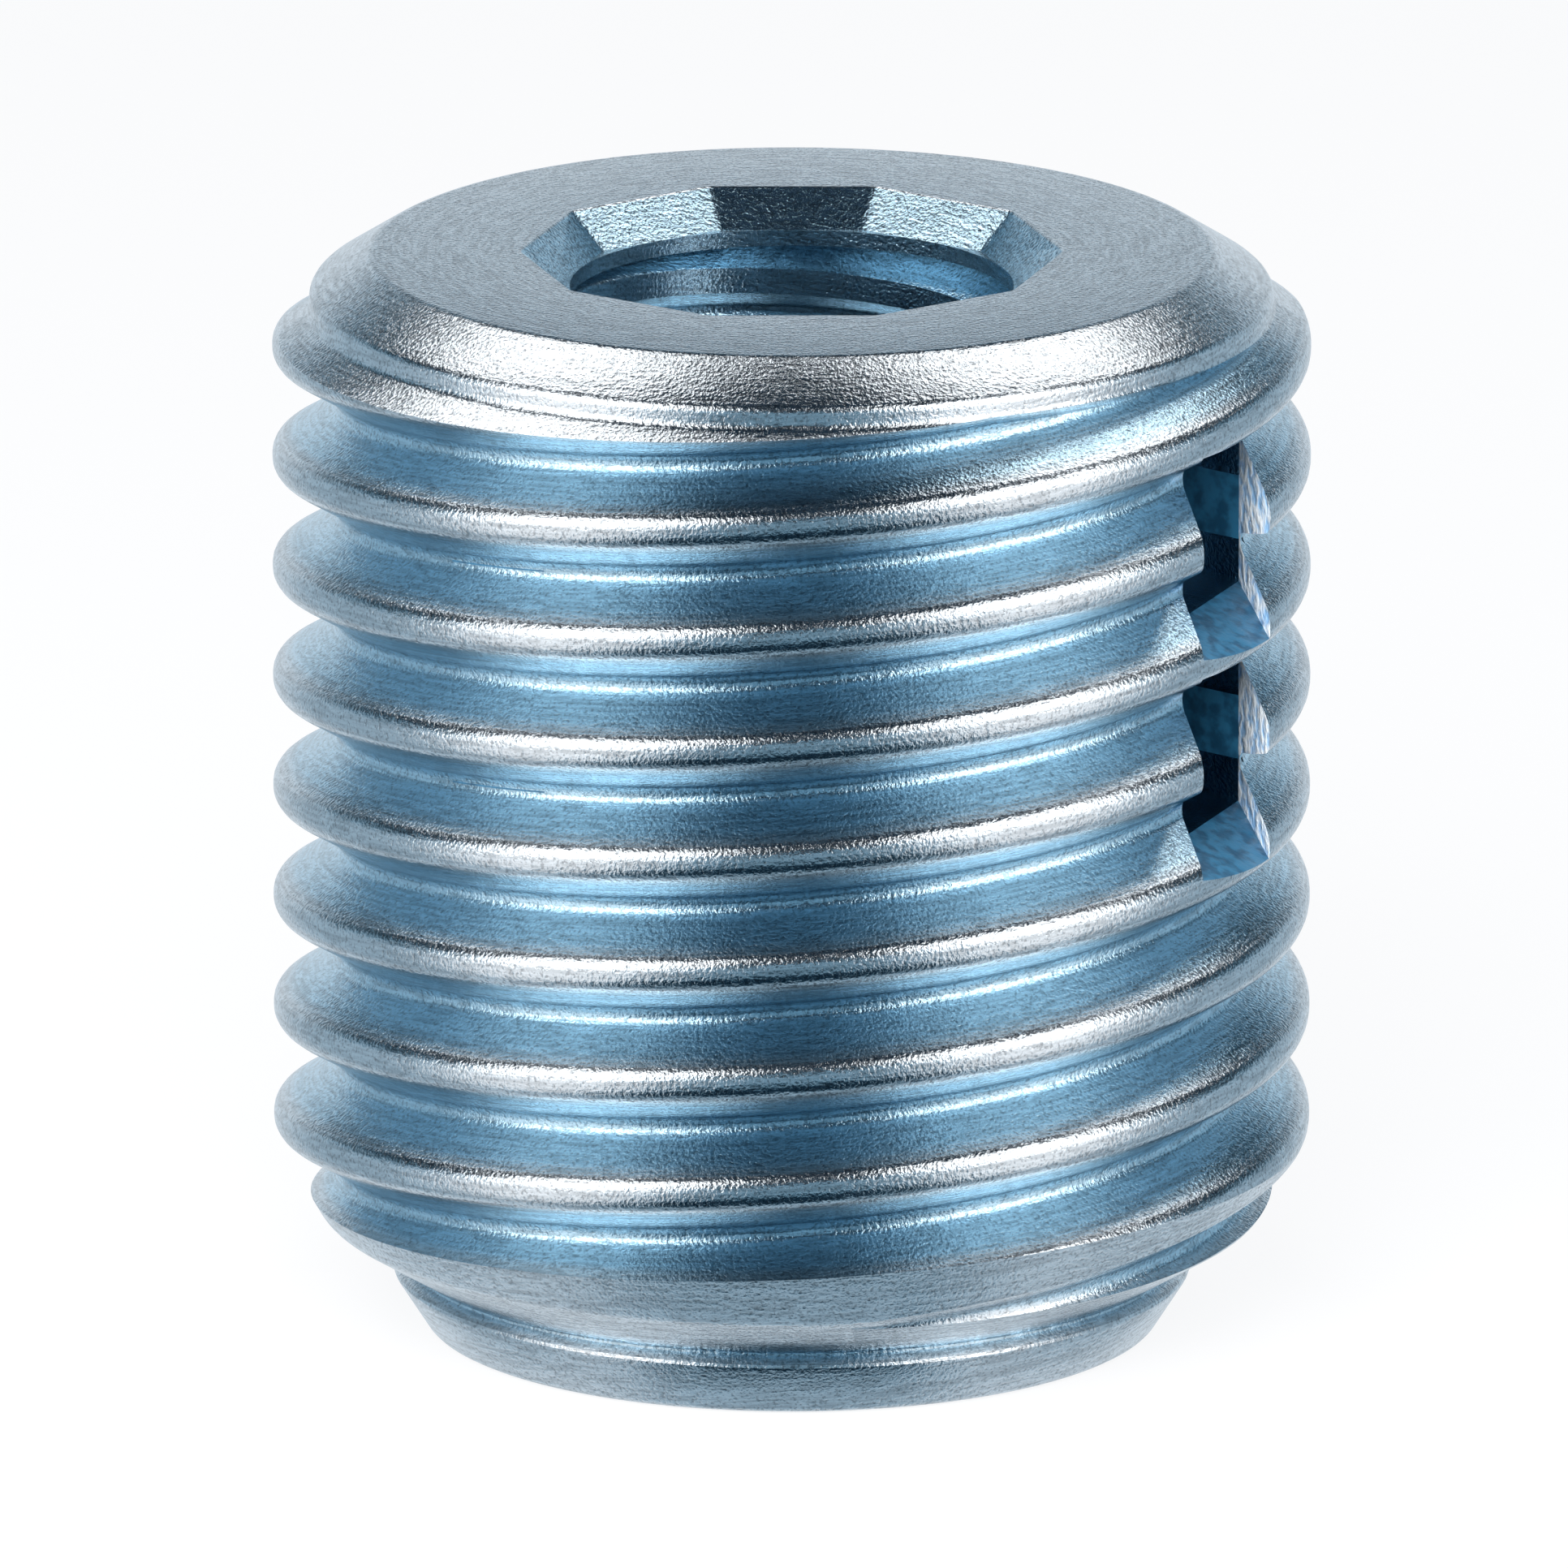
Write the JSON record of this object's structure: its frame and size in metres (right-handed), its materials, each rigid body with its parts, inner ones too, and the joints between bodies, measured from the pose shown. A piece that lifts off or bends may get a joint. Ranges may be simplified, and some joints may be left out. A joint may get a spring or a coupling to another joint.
{
  "type": "threaded insert",
  "caption": "Self-tapping steel insert with a coarse outer thread, raked cutting windows, a tapered polygonal driving socket and a threaded through bore.",
  "frame": {"origin": "centre of the lead end's flat face, on the axis of the bore", "axes": "+Z along the axis from the lead end to the driving socket; the cutting windows lie at about 68 degrees from -Y towards +X, and opposite"},
  "size_m": [0.016, 0.016, 0.017],
  "materials": {
    "zinc_plated_steel": "turned steel with blue passivated zinc plating: grey on the ends and lands, blue in the grooves"
  },
  "bodies": {
    "root": {"insert_body": "zinc_plated_steel"}
  },
  "joints": []
}
